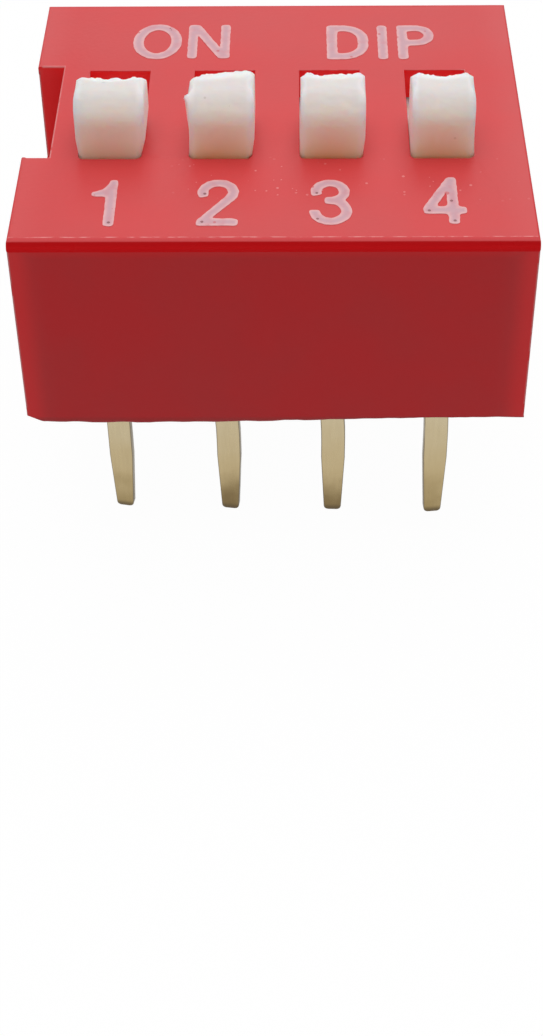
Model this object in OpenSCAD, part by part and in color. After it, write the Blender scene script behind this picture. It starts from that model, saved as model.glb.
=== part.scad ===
// Slide switch in a dual in-line body with four positions, standing on its pins.
// The origin is the centre of the pin grid on the seating plane, at the rim of the cover.
// +X runs from position 1 to position 4, +Y points to the ON side and +Z up.
// The sliders are drawn at OFF.

/* [Pin grid] */
// Spacing of the positions along the row
pitch = 2.54; // [2.45:0.01:3]
// Distance between the two rows of pins
row_spacing = 7.62; // [7.4:0.01:10.16]

/* [Cover] */
// From the outer positions to the end faces
end_margin = 1.99; // [1.9:0.01:2.6]
// From the pin rows to the side faces
row_margin = 1.09; // [1:0.01:1.8]
// Height from the rim to the top face
cover_h = 5.3; // [5:0.05:7]
// Thickness of the top wall
top_wall = 0.8; // [0.5:0.05:1]
// Thickness of the end walls at the rim
end_wall = 0.53; // [0.4:0.01:0.65]
// Thickness of the side walls at the rim
side_wall = 0.45; // [0.35:0.01:0.55]
// Radius of the long edges of the top face
edge_r = 0.2; // [0.05:0.01:0.35]
// Radius of the short edges of the top face
end_edge_r = 0.05; // [0.02:0.01:0.3]
// Length of the notch that marks the end of position 1
notch_l = 3.74; // [2:0.02:4.4]
// Offset of the notch towards ON
notch_shift = 0.13; // [0:0.01:0.5]
// Depth of the notch into the end face
notch_d = 0.64; // [0.3:0.02:0.66]
// Wall left between the notch's floor and the base
notch_floor = 0.3; // [0.2:0.02:1]

/* [Sliders] */
// Width of a knob
knob_w = 1.46; // [1.2:0.02:1.6]
// Depth of a knob along its travel
knob_d = 1.6; // [1.3:0.02:1.8]
// Height of a knob above the top face
knob_h = 1.5; // [1.1:0.05:2]
// Radius of a knob's upright edges and of the ends of its crest
knob_edge_r = 0.15; // [0.05:0.01:0.3]
// Travel from OFF to ON
travel = 1.94; // [1.7:0.02:2.1]
// Width of the slider under the top wall
slider_w = 2; // [1.9:0.02:2.1]
// Thickness of the plate that closes the slot
plate_t = 0.45; // [0.3:0.05:0.6]
// Lap of the plate past the slot at each end of the travel
plate_lap = 0.2; // [0.1:0.02:0.3]
// Width of the two rails that ride on the base
rail_w = 0.3; // [0.2:0.02:0.36]

/* [Contacts] */
// Thickness of a contact's leaf
leaf_t = 0.12; // [0.08:0.01:0.16]
// Width of a contact's leaf
leaf_w = 1.1; // [0.9:0.02:1.2]
// Length of the flat that lies on the slider
flat_l = 1; // [0.9:0.02:1.1]
// Height of the flat above the pads
contact_rise = 0.6; // [0.5:0.02:0.8]
// Distance between the two feet
foot_spread = 2.1; // [2.06:0.02:2.4]
// Outer radius of a curled foot
foot_r = 0.25; // [0.2:0.01:0.28]
// Width of the cut that splits a foot into two fingers
split_w = 0.24; // [0.1:0.02:0.4]
// Diameter of the post that holds the leaf
post_d = 0.5; // [0.4:0.02:0.6]
// Diameter of the post's staked head
head_d = 0.8; // [0.7:0.02:0.9]
// Height of the post's staked head
head_h = 0.15; // [0.1:0.01:0.25]

/* [Terminals] */
// Length of the pins below the rim
pin_l = 4; // [2.5:0.1:5]
// Width of a pin
pin_w = 0.58; // [0.5:0.01:0.7]
// Width of a pin at its tip
tip_w = 0.42; // [0.3:0.01:0.48]
// Length of the taper at the tip
tip_l = 1.8; // [0.8:0.1:2.2]
// Thickness of the strip
strip_t = 0.25; // [0.2:0.01:0.3]
// Inner radius of the bend from pad to pin
bend_r = 0.15; // [0.1:0.01:0.2]
// Width of a pad
pad_w = 1.1; // [0.9:0.02:1.3]
// Length of the narrow neck between a pad and its bend
neck_l = 0.4; // [0.2:0.02:0.6]
// Length of the front pad past the rear foot at OFF
pad_lap = 0.25; // [0.15:0.01:0.35]
// Gap between a front and a rear pad
pad_gap = 0.6; // [0.45:0.01:0.8]

/* [Base and seal] */
// Height of the base's top face above the rim
base_top = 2.3; // [2.1:0.02:2.4]
// Height of the base's underside above the rim
base_bottom = 0.65; // [0.5:0.01:0.75]
// Depth of the seal's face inside the rim
seal_depth = 0.16; // [0.1:0.01:0.3]
// Radius of the seal's rise at each pin
rise_r = 0.24; // [0.1:0.01:0.3]
// Width of the rise's top past the corners of a pin
rise_lip = 0.03; // [0.01:0.01:0.08]
// Length of the boss under the base
boss_l = 6.16; // [5:0.02:7]
// Depth of the boss across the switch
boss_d = 3.88; // [3.6:0.02:4.6]
// Depth of the boss's face inside the rim
boss_depth = 0.02; // [0.01:0.01:0.08]
// Width of the bars at the boss's ends
bar_w = 0.85; // [0.6:0.02:1]
// Step from the bars to the web between them
web_step = 0.12; // [0.05:0.01:0.2]
// Width of the web along each long side of the boss
web_w = 0.7; // [0.5:0.02:0.8]
// Step from the web to the floor between
floor_step = 0.1; // [0.05:0.01:0.2]
// Width of the core slot
core_w = 0.65; // [0.4:0.01:0.8]
// Depth of the core slot below the floor
core_depth = 1; // [0.5:0.05:1.2]
// Distance of the core slot from the bars
core_inset = 0.12; // [0.05:0.01:0.3]

/* [Clearances] */
// Between a slider and the walls that guide it
slide_gap = 0.04; // [0.03:0.01:0.08]
// Between a knob and the end of its slot
stop_gap = 0.04; // [0.02:0.01:0.1]
// Between the end of a slider and its chamber
chamber_gap = 0.1; // [0.05:0.01:0.15]
// Between the feet of a contact and the pads
wipe_gap = 0.02; // [0.01:0.01:0.04]
// Between pieces that are pressed together
fit_gap = 0.02; // [0.01:0.005:0.03]

/* [Hidden] */
positions = 4;
front = -1;
rear = 1;
round_fn = 64;
overrun = 0.1;

cover_red = [0.78, 0.13, 0.15];
slider_white = [0.9, 0.88, 0.86];
base_black = [0.13, 0.13, 0.14];
seal_grey = [0.25, 0.25, 0.25];
pin_gold = [0.8, 0.73, 0.55];
contact_gold = [0.83, 0.68, 0.35];

body_l = (positions - 1) * pitch + 2 * end_margin;
body_d = row_spacing + 2 * row_margin;
ceiling = cover_h - top_wall;
pocket_l = body_l - 2 * end_wall;
pocket_d = body_d - 2 * side_wall;

rest_y = -travel / 2;
slot_w = knob_w + 2 * slide_gap;
slot_l = knob_d + travel + 2 * stop_gap;
plate_l = slot_l + travel + 2 * plate_lap;
chamber_w = slider_w + 2 * slide_gap;
chamber_l = plate_l + travel + 2 * chamber_gap;
plate_top = ceiling - slide_gap;
plate_bottom = plate_top - plate_t;
leaf_seat = base_top + contact_rise + leaf_t;

row_y = row_spacing / 2;
bend_y = row_y - strip_t / 2 - bend_r;
bend_z = base_top - strip_t - bend_r;
front_pad_end = foot_spread / 2 - travel / 2 + pad_lap;
rear_pad_end = front_pad_end + pad_gap;

web_depth = boss_depth + web_step;
floor_depth = web_depth + floor_step;
web_l = boss_l - 2 * bar_w;
core_l = web_l - 2 * core_inset;
core_y = web_w - boss_d / 2 + core_w / 2;
rise_core_r = norm([pin_w, strip_t]) / 2 + rise_lip;
rise_fit_r = min(rise_r, row_margin - side_wall - rise_core_r);

function position_x(n) = (n - (positions + 1) / 2) * pitch;
function numbered(name) = [for (n = [1 : positions]) str(name, n)];

// Block centred on X and Y that stands on its own origin
module slab(l, d, h) {
    translate([-l / 2, -d / 2, 0])
        cube([l, d, h]);
}

// Profile drawn in Y and Z, drawn out along X
module along_x(l) {
    rotate([90, 0, 90])
        linear_extrude(height = l, center = true)
            children();
}

// Profile drawn in X and Z, drawn out along Y
module along_y(d) {
    rotate([90, 0, 0])
        linear_extrude(height = d, center = true)
            children();
}

// Rectangle that stands on its origin, with its two top corners round
module round_top(w, h, r) {
    translate([-w / 2, 0])
        square([w, h - r]);
    translate([r - w / 2, 0])
        square([w - 2 * r, h]);
    for (side = [-1, 1])
        translate([side * (w / 2 - r), h - r])
            circle(r = r, $fn = round_fn);
}

// Rectangle that stands on its origin, with a half-round top
module arch(w, h) {
    translate([-w / 2, 0])
        square([w, h - w / 2]);
    translate([0, h - w / 2])
        circle(d = w, $fn = round_fn);
}

// Centred rectangle with round corners
module round_rect(l, d, r) {
    square([l - 2 * r, d], center = true);
    square([l, d - 2 * r], center = true);
    for (x = [-1, 1], y = [-1, 1])
        translate([x * (l / 2 - r), y * (d / 2 - r)])
            circle(r = r, $fn = round_fn);
}

// The same shape at every position along the row
module each_position() {
    for (n = [1 : positions])
        translate([position_x(n), 0, 0])
            children();
}

// The same shape on the front side, or mirrored to the rear, with +Y pointing out of the body
module on_side(side) {
    mirror([0, side < 0 ? 1 : 0, 0])
        children();
}

// Block of the cover with round edges along the top
module cover_block() {
    intersection() {
        along_x(body_l + overrun)
            round_top(body_d, cover_h, edge_r);
        along_y(body_d + overrun)
            round_top(body_l, cover_h, end_edge_r);
    }
}

module notch() {
    notch_z = base_top + notch_floor;
    translate([-body_l / 2 - overrun, notch_shift - notch_l / 2, notch_z])
        cube([notch_d + overrun, notch_l, cover_h - notch_z + overrun]);
}

module cover() {
    color(cover_red)
    difference() {
        cover_block();
        translate([0, 0, -overrun])
            slab(pocket_l, pocket_d, base_top + overrun);
        each_position() {
            translate([0, 0, base_top - overrun])
                slab(chamber_w, chamber_l, ceiling - base_top + overrun);
            translate([0, 0, ceiling - overrun])
                slab(slot_w, slot_l, top_wall + 2 * overrun);
        }
        notch();
    }
}

// Sunken middle of the boss, with a floor between two webs and a core slot beside the front web
module boss_recess() {
    translate([0, 0, -overrun])
        slab(web_l, boss_d + overrun, web_depth + overrun);
    translate([0, 0, -overrun])
        slab(web_l, boss_d - 2 * web_w, floor_depth + overrun);
    translate([0, core_y, -overrun])
        slab(core_l, core_w, floor_depth + core_depth + overrun);
}

// Space that a terminal takes in the base, with the clearance of its fit
module terminal_seat(pad_start) {
    recess_l = row_y + strip_t / 2 - pad_start + 2 * fit_gap;
    pad_l = bend_y - neck_l - pad_start + 2 * fit_gap;
    recess_z = base_top - strip_t - fit_gap;
    translate([-pin_w / 2 - fit_gap, pad_start - fit_gap, recess_z])
        cube([pin_w + 2 * fit_gap, recess_l, strip_t + fit_gap + overrun]);
    translate([-pad_w / 2 - fit_gap, pad_start - fit_gap, recess_z])
        cube([pad_w + 2 * fit_gap, pad_l, strip_t + fit_gap + overrun]);
    translate([-pin_w / 2 - fit_gap, bend_y - fit_gap, bend_z - fit_gap])
        cube([pin_w + 2 * fit_gap, bend_r + strip_t + 2 * fit_gap, bend_r + strip_t]);
    translate([0, row_y, base_bottom - overrun])
        slab(pin_w + 2 * fit_gap, strip_t + 2 * fit_gap, base_top - base_bottom);
}

module base() {
    color(base_black)
    difference() {
        union() {
            translate([0, 0, base_bottom])
                slab(pocket_l - 2 * fit_gap, pocket_d - 2 * fit_gap, base_top - base_bottom);
            translate([0, 0, boss_depth])
                slab(boss_l, boss_d, base_bottom - boss_depth + overrun);
        }
        boss_recess();
        each_position() {
            on_side(front)
                terminal_seat(-front_pad_end);
            on_side(rear)
                terminal_seat(rear_pad_end);
        }
    }
}

// Concave rise of the seal round one pin, below the seal's face and no wider than its wall allows
module pin_rise() {
    mirror([0, 0, 1])
        rotate_extrude($fn = round_fn)
            difference() {
                square([rise_core_r + rise_fit_r, rise_fit_r]);
                translate([rise_core_r + rise_fit_r, rise_fit_r])
                    circle(r = rise_fit_r, $fn = round_fn);
            }
}

module epoxy_seal() {
    color(seal_grey)
    difference() {
        union() {
            translate([0, 0, seal_depth])
                slab(pocket_l, pocket_d, base_bottom - seal_depth);
            each_position()
                for (side = [front, rear])
                    translate([0, side * row_y, seal_depth])
                        pin_rise();
        }
        slab(boss_l, boss_d, base_bottom + overrun);
        each_position()
            for (side = [front, rear])
                translate([0, side * row_y, -pin_l])
                    slab(pin_w, strip_t, pin_l + base_bottom + overrun);
    }
}

// Outline of the strip from the side: along the pad, round the bend and down the pin
module strip_profile(pad_start) {
    translate([pad_start, base_top - strip_t])
        square([bend_y - pad_start, strip_t]);
    translate([bend_y, bend_z])
        difference() {
            intersection() {
                circle(r = bend_r + strip_t, $fn = round_fn);
                square(bend_r + strip_t);
            }
            circle(r = bend_r, $fn = round_fn);
        }
    translate([row_y - strip_t / 2, -pin_l])
        square([strip_t, pin_l + bend_z]);
}

// Outline of the pin from the front, tapered at its tip
module pin_outline() {
    taper_z = tip_l - pin_l;
    polygon([
        [-tip_w / 2, -pin_l],
        [tip_w / 2, -pin_l],
        [pin_w / 2, taper_z],
        [pin_w / 2, base_top],
        [-pin_w / 2, base_top],
        [-pin_w / 2, taper_z]
    ]);
}

module terminal(n, side) {
    pad_start = side < 0 ? -front_pad_end : rear_pad_end;
    color(pin_gold)
    translate([position_x(n), 0, 0])
        on_side(side) {
            intersection() {
                along_x(pad_w)
                    strip_profile(pad_start);
                along_y(2 * body_d)
                    pin_outline();
            }
            translate([-pad_w / 2, pad_start, base_top - strip_t])
                cube([pad_w, bend_y - neck_l - pad_start, strip_t]);
        }
}

// One arm of the leaf from the end of the flat to its foot, curled up at the end
module leaf_arm() {
    foot_y = foot_spread / 2;
    foot_z = wipe_gap + foot_r;
    knee = [flat_l / 2, contact_rise + leaf_t / 2];
    heel = [foot_y - foot_r + leaf_t / 2, foot_z];
    toe = [foot_y + foot_r - leaf_t / 2, foot_z];
    slope = heel - knee;
    translate(knee)
        rotate(atan2(slope[1], slope[0]))
            translate([0, -leaf_t / 2])
                square([norm(slope), leaf_t]);
    for (joint = [knee, heel, toe])
        translate(joint)
            circle(d = leaf_t, $fn = round_fn);
    translate([foot_y, foot_z])
        difference() {
            circle(r = foot_r, $fn = round_fn);
            circle(r = foot_r - leaf_t, $fn = round_fn);
            translate([-foot_r, 0])
                square(2 * foot_r);
        }
}

module leaf_profile() {
    translate([-flat_l / 2, contact_rise])
        square([flat_l, leaf_t]);
    leaf_arm();
    mirror([1, 0])
        leaf_arm();
}

module contact(n) {
    split_l = foot_spread / 2 + foot_r - flat_l / 2;
    color(contact_gold)
    translate([position_x(n), rest_y, base_top])
        difference() {
            along_x(leaf_w)
                leaf_profile();
            for (side = [front, rear])
                translate([0, side * (flat_l + split_l + leaf_t) / 2, 0])
                    slab(split_w, split_l, contact_rise + leaf_t + overrun);
            cylinder(d = post_d + 2 * fit_gap, h = contact_rise + leaf_t + overrun, $fn = round_fn);
        }
}

// Knob with its neck, with a half-round crest along X and round upright edges
module knob() {
    h = cover_h + knob_h - plate_bottom;
    translate([0, 0, plate_bottom])
        intersection() {
            along_x(knob_w + overrun)
                arch(knob_d, h);
            along_y(knob_d + overrun)
                round_top(knob_w, h, knob_edge_r);
            linear_extrude(height = h + overrun)
                round_rect(knob_w, knob_d, knob_edge_r);
        }
}

// Post that carries the leaf, with its staked head under it
module leaf_post() {
    head_z = base_top + contact_rise - head_h;
    translate([0, 0, head_z])
        cylinder(d = head_d, h = head_h, $fn = round_fn);
    translate([0, 0, head_z])
        cylinder(d = post_d, h = plate_bottom - head_z, $fn = round_fn);
}

module slider(n) {
    rail_z = base_top + slide_gap;
    color(slider_white)
    translate([position_x(n), rest_y, 0]) {
        translate([0, 0, plate_bottom])
            slab(slider_w, plate_l, plate_t);
        for (side = [-1, 1])
            translate([side * (slider_w - rail_w) / 2, 0, rail_z])
                slab(rail_w, plate_l, plate_top - rail_z);
        translate([0, 0, leaf_seat])
            slab(slider_w, flat_l, plate_top - leaf_seat);
        leaf_post();
        knob();
    }
}

cover();
base();
epoxy_seal();
for (n = [1 : positions]) {
    slider(n);
    contact(n);
    terminal(n, front);
    terminal(n, rear);
}
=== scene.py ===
import math

import bmesh
import bpy
from mathutils import Matrix, Vector, noise


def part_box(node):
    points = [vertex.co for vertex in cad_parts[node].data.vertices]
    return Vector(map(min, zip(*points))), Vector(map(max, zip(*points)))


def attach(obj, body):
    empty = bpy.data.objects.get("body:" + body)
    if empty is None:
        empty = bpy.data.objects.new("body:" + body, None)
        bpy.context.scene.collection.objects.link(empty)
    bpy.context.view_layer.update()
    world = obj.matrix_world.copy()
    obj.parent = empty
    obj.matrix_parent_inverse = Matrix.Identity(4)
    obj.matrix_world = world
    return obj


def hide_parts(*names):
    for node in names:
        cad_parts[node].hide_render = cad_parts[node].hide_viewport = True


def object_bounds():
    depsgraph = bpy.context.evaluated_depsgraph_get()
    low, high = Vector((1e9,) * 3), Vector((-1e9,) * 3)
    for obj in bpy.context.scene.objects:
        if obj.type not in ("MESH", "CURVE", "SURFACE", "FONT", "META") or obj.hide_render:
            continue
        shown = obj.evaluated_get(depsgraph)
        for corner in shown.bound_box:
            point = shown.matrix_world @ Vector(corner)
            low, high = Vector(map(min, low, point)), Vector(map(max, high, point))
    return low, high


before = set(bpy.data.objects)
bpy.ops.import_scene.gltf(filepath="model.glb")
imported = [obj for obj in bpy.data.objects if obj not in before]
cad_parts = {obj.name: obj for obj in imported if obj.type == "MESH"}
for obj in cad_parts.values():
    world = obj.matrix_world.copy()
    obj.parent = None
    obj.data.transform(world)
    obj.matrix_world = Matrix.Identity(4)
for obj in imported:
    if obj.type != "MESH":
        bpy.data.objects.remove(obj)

CAD_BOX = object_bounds()
MM = 0.001
POSITIONS = (1, 2, 3, 4)
ALONG_X = Vector((1, 0, 0))
ALONG_Y = Vector((0, 1, 0))
ALONG_Z = Vector((0, 0, 1))

# Places that the CAD parts give
COVER_LOW, COVER_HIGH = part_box("cover")
SEAL_LOW, SEAL_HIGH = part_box("epoxy_seal")
TOP_Z = COVER_HIGH.z
PIN_TIP_Z = CAD_BOX[0].z

# Making of the meshes
WELD = 0.0001 * MM
FLAT_ANGLE = 0.01
SHARP_ANGLE = math.radians(30)
CORNER_ANGLE = math.radians(60)
TOUCH = 0.01 * MM
NOISE_SEED = 7

# Cover: its long upper edges are rounded, and a band of deeper red takes in a little of the sides
COVER_EDGE_R = 0.2 * MM
BAND_OVERLAP = 0.05 * MM
BAND_LOW_Z = TOP_Z - COVER_EDGE_R - BAND_OVERLAP
COVER_BREAK = 0.04 * MM
BREAK_SEGMENTS = 3
END_CUT_X = COVER_LOW.x + 0.12 * MM
WINDOW_CORNER_R = 0.15 * MM
WINDOW_END_X = 4.8 * MM
WINDOW_END_Y = 1.81 * MM
WINDOW_HALF_W = 0.77 * MM
WINDOW_DRAW = 0.085 * MM
WINDOW_DRAW_REACH = 0.3 * MM
CHIP_PLACE = Vector((-5.8, -4.9, 0.14)) * MM
CHIP_FACING = Vector((-0.3, -0.25, -0.92))
RIM_CUT = 0.12 * MM
RIM_STEP = 0.15 * MM
RIM_WAVE = 0.035 * MM
RIM_WAVE_SPACING = 0.55 * MM
RIM_SET = -0.027 * MM
RIM_BOW = 0.087 * MM
RIM_BOW_MIDDLE = 1.3 * MM
RIM_BOW_REACH = 9 * MM

# Knobs
KNOB_ROOT = TOP_Z - 0.75 * MM
KNOB_R = 0.8 * MM
KNOB_CUTS_ACROSS = 34
KNOB_CUT_ANGLE = math.radians(4)
KNOB_CUT_STEP = 0.08 * MM
KNOB_SKIN = 0.012 * MM
KNOB_SKIN_SPACING = 0.16 * MM
KNOB_NECK = 0.2 * MM
KNOB_SHAPE_RISE = 0.4 * MM
KNOB_FRONT_LEAN = 0.06 * MM
# Spread of the left and right side of every knob's neck, in millimetres
NECK_SPREAD = (-0.051, 0.034)
# Spread of each knob's left and right side above the top face, in millimetres
KNOB_SPREAD = {1: (0.048, 0.11), 2: (-0.015, 0.06), 3: (-0.015, 0.05), 4: (0.0, -0.01)}
# Strength of the painted red bounce light at the foot of each knob in front, and of every knob behind
FRONT_TINT = {1: 0.78, 2: 1.06, 3: 1.06, 4: 1.0}
BACK_TINT = 0.25
TINT_REACH = 1.4 * MM
TINT_FALL = 1.8
TINT_SIDE_LOSS = 0.55
# Rise of each crest, its sag at the middle and the drop of its left end, in millimetres
CREST_RISE = {1: 0.06, 2: 0.18, 3: 0.12, 4: 0.11}
CREST_SAG = {1: 0.11, 2: 0.02, 3: 0.08, 4: 0.1}
CREST_DROP = {1: 0.0, 2: 0.17, 3: 0.02, 4: 0.0}
CREST_RISE_SPREAD = math.radians(22)
CREST_SPREAD = math.radians(40)
CREST_CLEAR = 0.004 * MM
CREST_RIM_TILT = math.radians(30)
CREST_RIM_SPREAD = math.radians(10)
RIM_LIGHT_START = 0.75
SHOULDER_DROP = 0.1 * MM
SHOULDER_START = 0.68
FLASH_TILT = math.radians(37)
FLASH_SPREAD = math.radians(4)
FLASH_HEIGHT = 0.055 * MM
FLASH_SPACING = 0.1 * MM
BURR_KNOB = 2
BURR_START = -0.99
BURR_TILT = math.radians(-28)
BURR_SPREAD = math.radians(8)
BURR_REACH = 0.13 * MM

# Pins
PIN_BREAK = 0.045 * MM
TIP_BREAK = 0.1 * MM
PIN_CUTS = 12
# Lean of each pin's tip along the row and outwards in millimetres, and its turn in degrees
FRONT_LEAN = {1: (0.02, -0.08, -10), 2: (0.12, 0.02, -8), 3: (0.12, 0.06, -2), 4: (0.06, 0.13, 6)}
REAR_LEAN = {1: (0.02, 0.08, -3), 2: (-0.03, 0.03, 4), 3: (0.0, 0.12, 2), 4: (-0.02, 0.05, -5)}

# Seal and base
SEAL_FACE_Z = 0.16 * MM
SEAL_CELL = 0.3 * MM
SEAL_WAVE = 0.03 * MM
SEAL_WAVE_SPACING = 1.1 * MM
SEAL_CLIMB = 0.08 * MM
SEAL_CLIMB_REACH = 0.14 * MM
SEAL_CLIMB_CUTS = (0.04 * MM, 0.09 * MM, 0.16 * MM)
PIN_PITCH = 2.54 * MM
PIN_ROW_Y = 3.81 * MM
BASE_BREAK = 0.03 * MM
BOSS_X = 3.08 * MM
BOSS_Y = 1.94 * MM
BOSS_DEEP_Z = 0.3 * MM
BOSS_CELL = 0.12 * MM
BOSS_BAR_X = 2.23 * MM
BOSS_BAR_EDGE = 0.12 * MM
BOSS_RAGGED = 0.06 * MM
BOSS_SKIN = 0.012 * MM
BOSS_SPACING = 0.16 * MM

# Print on the top face
PRINT_PROUD = 0.012 * MM
PRINT_SUNK = 0.004 * MM
PRINT_STEP = 0.05 * MM
PRINT_WOBBLE = 0.014 * MM
PRINT_WOBBLE_SPACING = 0.11 * MM
PRINT_SOFT_PASSES = 4
PRINT_RIM = 0.1 * MM
PIT_DEPTH = 0.006 * MM
PIT_SIDES = 12
ARC_STEP = math.radians(9)

# Camera
CAMERA_AZIMUTH = math.radians(1.068)
CAMERA_ELEVATION = math.radians(39.709)
CAMERA_ROLL = math.radians(-0.785)
CAMERA_DISTANCE = 46.711 * MM
CAMERA_AIM = Vector((0, 0, 3)) * MM
CAMERA_OFFSET = Vector((-0.101, -2.06)) * MM
CAMERA_LENS = 66.67
CAMERA_SHIFT_Y = -0.2342

# Light
FLOOR_SIZE = 600 * MM
FLOOR_GREY = (0.31, 0.31, 0.31, 1)
FLOOR_WHITE = (1, 1, 1, 1)
FLOOR_GLOW = 0.975
CEILING_LIGHT = 0.45
CEILING_SEEN = 0.06
# Each lamp's azimuth and elevation in degrees, distance and size in millimetres, and power in watts
LAMPS = {
    "overhead_softbox": (176, 82, 300, 290, 0.49),
    "back_softbox": (176, 42, 300, 160, 0.13),
}


def closed_copy(node):
    """A CAD node's own form as one closed mesh, with its flat faces whole."""
    bm = bmesh.new()
    bm.from_mesh(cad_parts[node].data)
    bmesh.ops.remove_doubles(bm, verts=bm.verts, dist=WELD)
    bmesh.ops.dissolve_limit(bm, angle_limit=FLAT_ANGLE, verts=bm.verts, edges=bm.edges)
    return bm


def add_piece(bm, name, materials, body, node=None):
    """Turns a finished mesh into a piece that rides on a body and stands for a CAD node."""
    mesh = bpy.data.meshes.new(name)
    bm.to_mesh(mesh)
    bm.free()
    carried_normals = mesh.attributes.get("custom_normal")
    if carried_normals:
        mesh.attributes.remove(carried_normals)
    mesh.shade_smooth()
    mesh.set_sharp_from_angle(angle=SHARP_ANGLE)
    for material in materials:
        mesh.materials.append(material)
    piece = bpy.data.objects.new(name, mesh)
    bpy.context.scene.collection.objects.link(piece)
    piece.modifiers.new("even_shading", "WEIGHTED_NORMAL").keep_sharp = True
    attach(piece, body)
    if node:
        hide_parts(node)


def cut(bm, faces, place, facing):
    """Cuts faces along a plane and keeps both sides."""
    edges = {edge for face in faces for edge in face.edges}
    verts = {vert for face in faces for vert in face.verts}
    bmesh.ops.bisect_plane(
        bm,
        geom=list(faces) + list(edges) + list(verts),
        dist=WELD,
        plane_co=place,
        plane_no=facing,
    )


def faces_where(bm, test):
    """Faces whose corners all pass a test of their place."""
    return [face for face in bm.faces if all(test(vert.co) for vert in face.verts)]


def steps_between(low, high, spacing):
    """Even steps inside a stretch, about one spacing apart."""
    count = max(1, round((high - low) / spacing))
    return [low + (high - low) * step / count for step in range(1, count)]


def bump_at(place, spacing, seed=0):
    """Smooth noise from -1 to 1 with bumps about one spacing wide."""
    return noise.noise(place / spacing + Vector((seed, 2 * seed, 3 * seed)))


def bell(value, middle, width):
    """Bell curve that is 1 at its middle and falls off over a width."""
    return math.exp(-((value - middle) / width) ** 2)


def round_edges(bm, edges, width):
    """Rounds edges over a width and gives back the new faces."""
    made = bmesh.ops.bevel(
        bm,
        geom=edges,
        offset=width,
        offset_type="OFFSET",
        affect="EDGES",
        segments=BREAK_SEGMENTS,
        profile=0.5,
        material=-1,
        clamp_overlap=True,
    )
    return made["faces"]


def break_edges(bm, edges, width):
    """Rounds edges over a small width and marks the new faces as rubbed."""
    rubbed = bm.loops.layers.float.get("rubbed") or bm.loops.layers.float.new("rubbed")
    for face in round_edges(bm, edges, width):
        for loop in face.loops:
            loop[rubbed] = 1


def sharp_edges(bm):
    """Outer edges of a mesh that are sharper than the corner angle."""
    return [edge for edge in bm.edges if edge.calc_face_angle_signed(0) > CORNER_ANGLE]


def split_large_faces(bm):
    """Gives every face with more than four corners a flat triangle mesh."""
    bmesh.ops.triangulate(bm, faces=[face for face in bm.faces if len(face.verts) > 4])


def fill_inputs(tree, node, inputs):
    """Sets a node's inputs to values, or links them to other nodes' outputs."""
    for name, value in inputs.items():
        if isinstance(value, bpy.types.NodeSocket):
            tree.links.new(value, node.inputs[name])
        else:
            node.inputs[name].default_value = value


def add_node(tree, kind, inputs=None, **settings):
    """Adds a node with its settings and its inputs."""
    node = tree.nodes.new(kind)
    for name, value in settings.items():
        setattr(node, name, value)
    fill_inputs(tree, node, inputs or {})
    return node


def place_on(tree):
    """Output of the place on the object."""
    return add_node(tree, "ShaderNodeTexCoord").outputs["Object"]


def axes_of(tree, vector):
    """X, Y and Z outputs of a vector."""
    return add_node(tree, "ShaderNodeSeparateXYZ", {"Vector": vector}).outputs


def facing_axes(tree):
    """X, Y and Z outputs of the way that the surface faces."""
    return axes_of(tree, add_node(tree, "ShaderNodeTexCoord").outputs["Normal"])


def carried(tree, name):
    """Output of a value that the mesh carries."""
    return add_node(tree, "ShaderNodeAttribute", attribute_name=name).outputs["Fac"]


def maths(tree, operation, first, second=0.0):
    """Output of one calculation on two values."""
    return add_node(tree, "ShaderNodeMath", {0: first, 1: second}, operation=operation).outputs[0]


def product(tree, first, *others):
    """Output of values multiplied together."""
    for other in others:
        first = maths(tree, "MULTIPLY", first, other)
    return first


def size_of(tree, value):
    """Output of a value without its sign."""
    return maths(tree, "ABSOLUTE", value)


def spread(tree, value, low, high, low_to=0.0, high_to=1.0):
    """Output of a value moved smoothly from one range to another."""
    inputs = {"Value": value, "From Min": low, "From Max": high, "To Min": low_to, "To Max": high_to}
    return add_node(tree, "ShaderNodeMapRange", inputs, interpolation_type="SMOOTHSTEP").outputs[0]


def blend_colours(tree, share, first, second):
    """Output of two colours mixed by a share."""
    return add_node(tree, "ShaderNodeMix", {0: share, 6: first, 7: second}, data_type="RGBA").outputs[2]


def noise_value(tree, place, scale, detail):
    """Output of noise at a place."""
    inputs = {"Vector": place, "Scale": scale, "Detail": detail}
    return add_node(tree, "ShaderNodeTexNoise", inputs).outputs["Fac"]


def new_group(name, inputs, outputs):
    """An empty effect with named value inputs and outputs."""
    group = bpy.data.node_groups.new(name, "ShaderNodeTree")
    for socket, value in inputs.items():
        made = group.interface.new_socket(socket, in_out="INPUT", socket_type="NodeSocketFloat")
        made.default_value = value
    for socket in outputs:
        group.interface.new_socket(socket, in_out="OUTPUT", socket_type="NodeSocketFloat")
    return group, add_node(group, "NodeGroupInput").outputs, add_node(group, "NodeGroupOutput")


def make_moulded_skin():
    """Effect of a moulded or cast surface: broad clouds of tone and a fine grain."""
    group, given, result = new_group(
        "moulded_skin", {"Cloud Scale": 500.0, "Grain Scale": 9000.0}, ("Cloud", "Grain")
    )
    place = place_on(group)
    for kind, detail in (("Cloud", 4.0), ("Grain", 3.0)):
        fill_inputs(group, result, {kind: noise_value(group, place, given[f"{kind} Scale"], detail)})
    return group


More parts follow.
